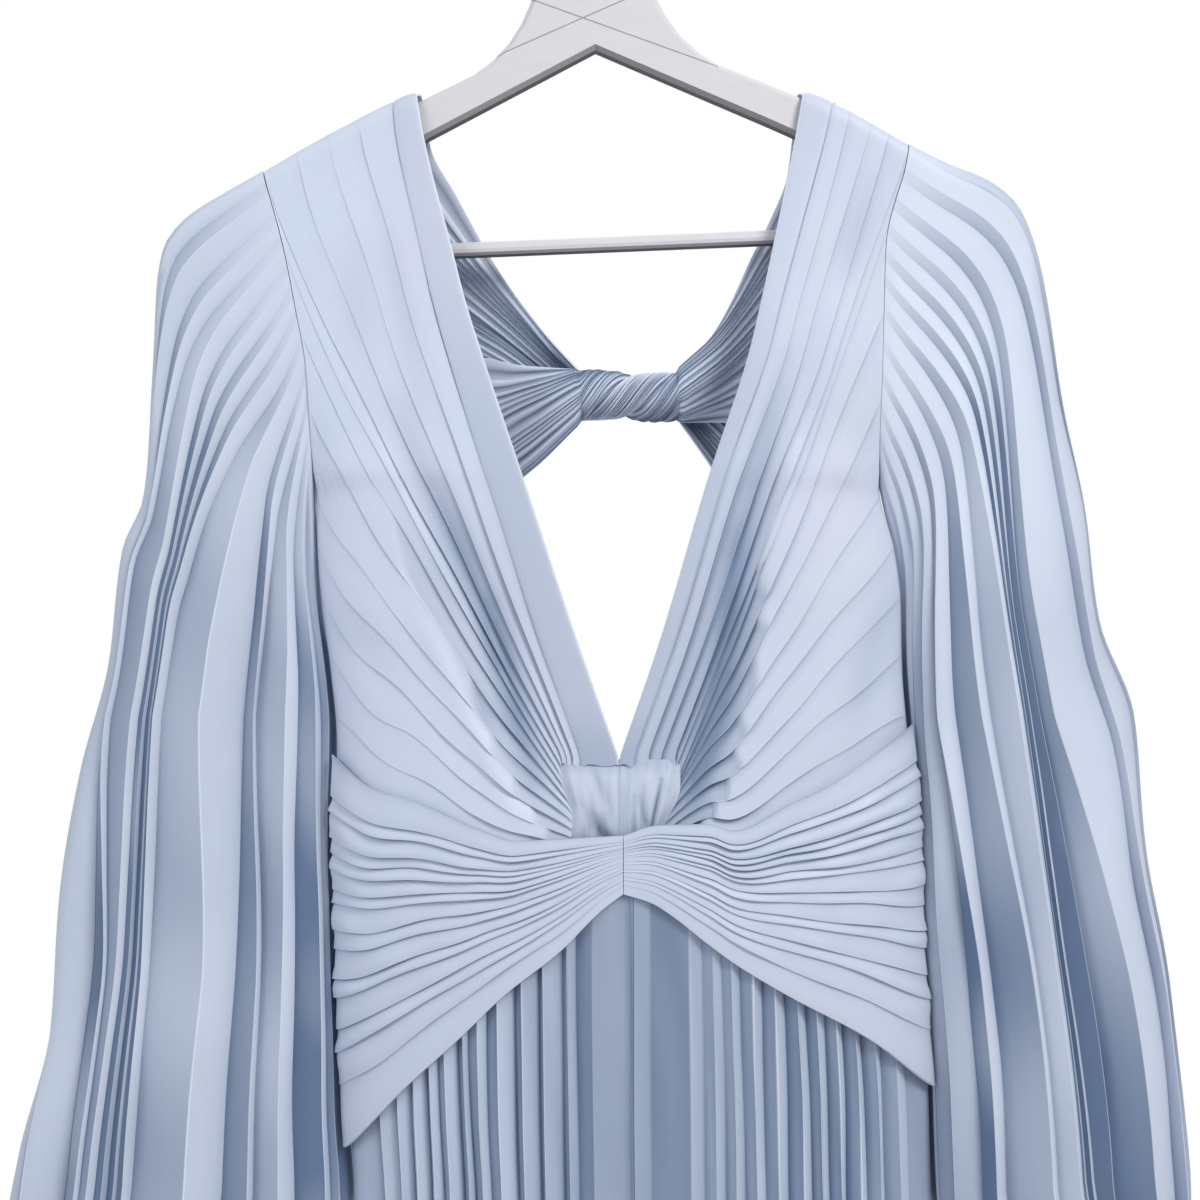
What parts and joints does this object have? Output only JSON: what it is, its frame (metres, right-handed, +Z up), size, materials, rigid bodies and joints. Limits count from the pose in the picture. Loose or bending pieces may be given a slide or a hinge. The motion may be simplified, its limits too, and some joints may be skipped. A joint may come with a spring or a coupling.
{
  "type": "pleated dress on a hanger",
  "caption": "Long-sleeved satin dress with a deep V neck, a pleated wrap sash, a twisted open back and an accordion skirt, hung on a flat hanger.",
  "frame": {"origin": "inside top of the hanger's hook, where a rail carries it", "axes": "+X to the viewer's right across the front, +Y from the front to the back, +Z up"},
  "size_m": [0.6719, 0.16, 1.352],
  "materials": {
    "hanger_arms": "pale painted wood",
    "hanger_bar": "pale painted wood",
    "hanger_hook": "polished",
    "neck_band_left": "pleated satin",
    "neck_band_right": "pleated satin",
    "front_left": "pleated satin",
    "front_right": "pleated satin",
    "insert_left": "pleated satin",
    "insert_right": "pleated satin",
    "sash_left": "pleated satin",
    "sash_right": "pleated satin",
    "back_wrap_left": "pleated satin",
    "back_wrap_right": "pleated satin",
    "skirt_front_left": "pleated satin",
    "skirt_front_right": "pleated satin",
    "skirt_back": "pleated satin",
    "sleeve_left": "pleated satin",
    "sleeve_right": "pleated satin",
    "cuff_left": "pleated satin",
    "cuff_right": "pleated satin"
  },
  "bodies": {
    "root": {"hanger_arms": "hanger_arms", "hanger_bar": "hanger_bar", "hanger_hook": "hanger_hook", "neck_band_left": "neck_band_left", "neck_band_right": "neck_band_right", "front_left": "front_left", "front_right": "front_right", "insert_left": "insert_left", "insert_right": "insert_right", "sash_left": "sash_left", "sash_right": "sash_right", "back_wrap_left": "back_wrap_left", "back_wrap_right": "back_wrap_right", "skirt_front_left": "skirt_front_left", "skirt_front_right": "skirt_front_right", "skirt_back": "skirt_back", "sleeve_left": "sleeve_left", "sleeve_right": "sleeve_right", "cuff_left": "cuff_left", "cuff_right": "cuff_right"}
  },
  "joints": []
}
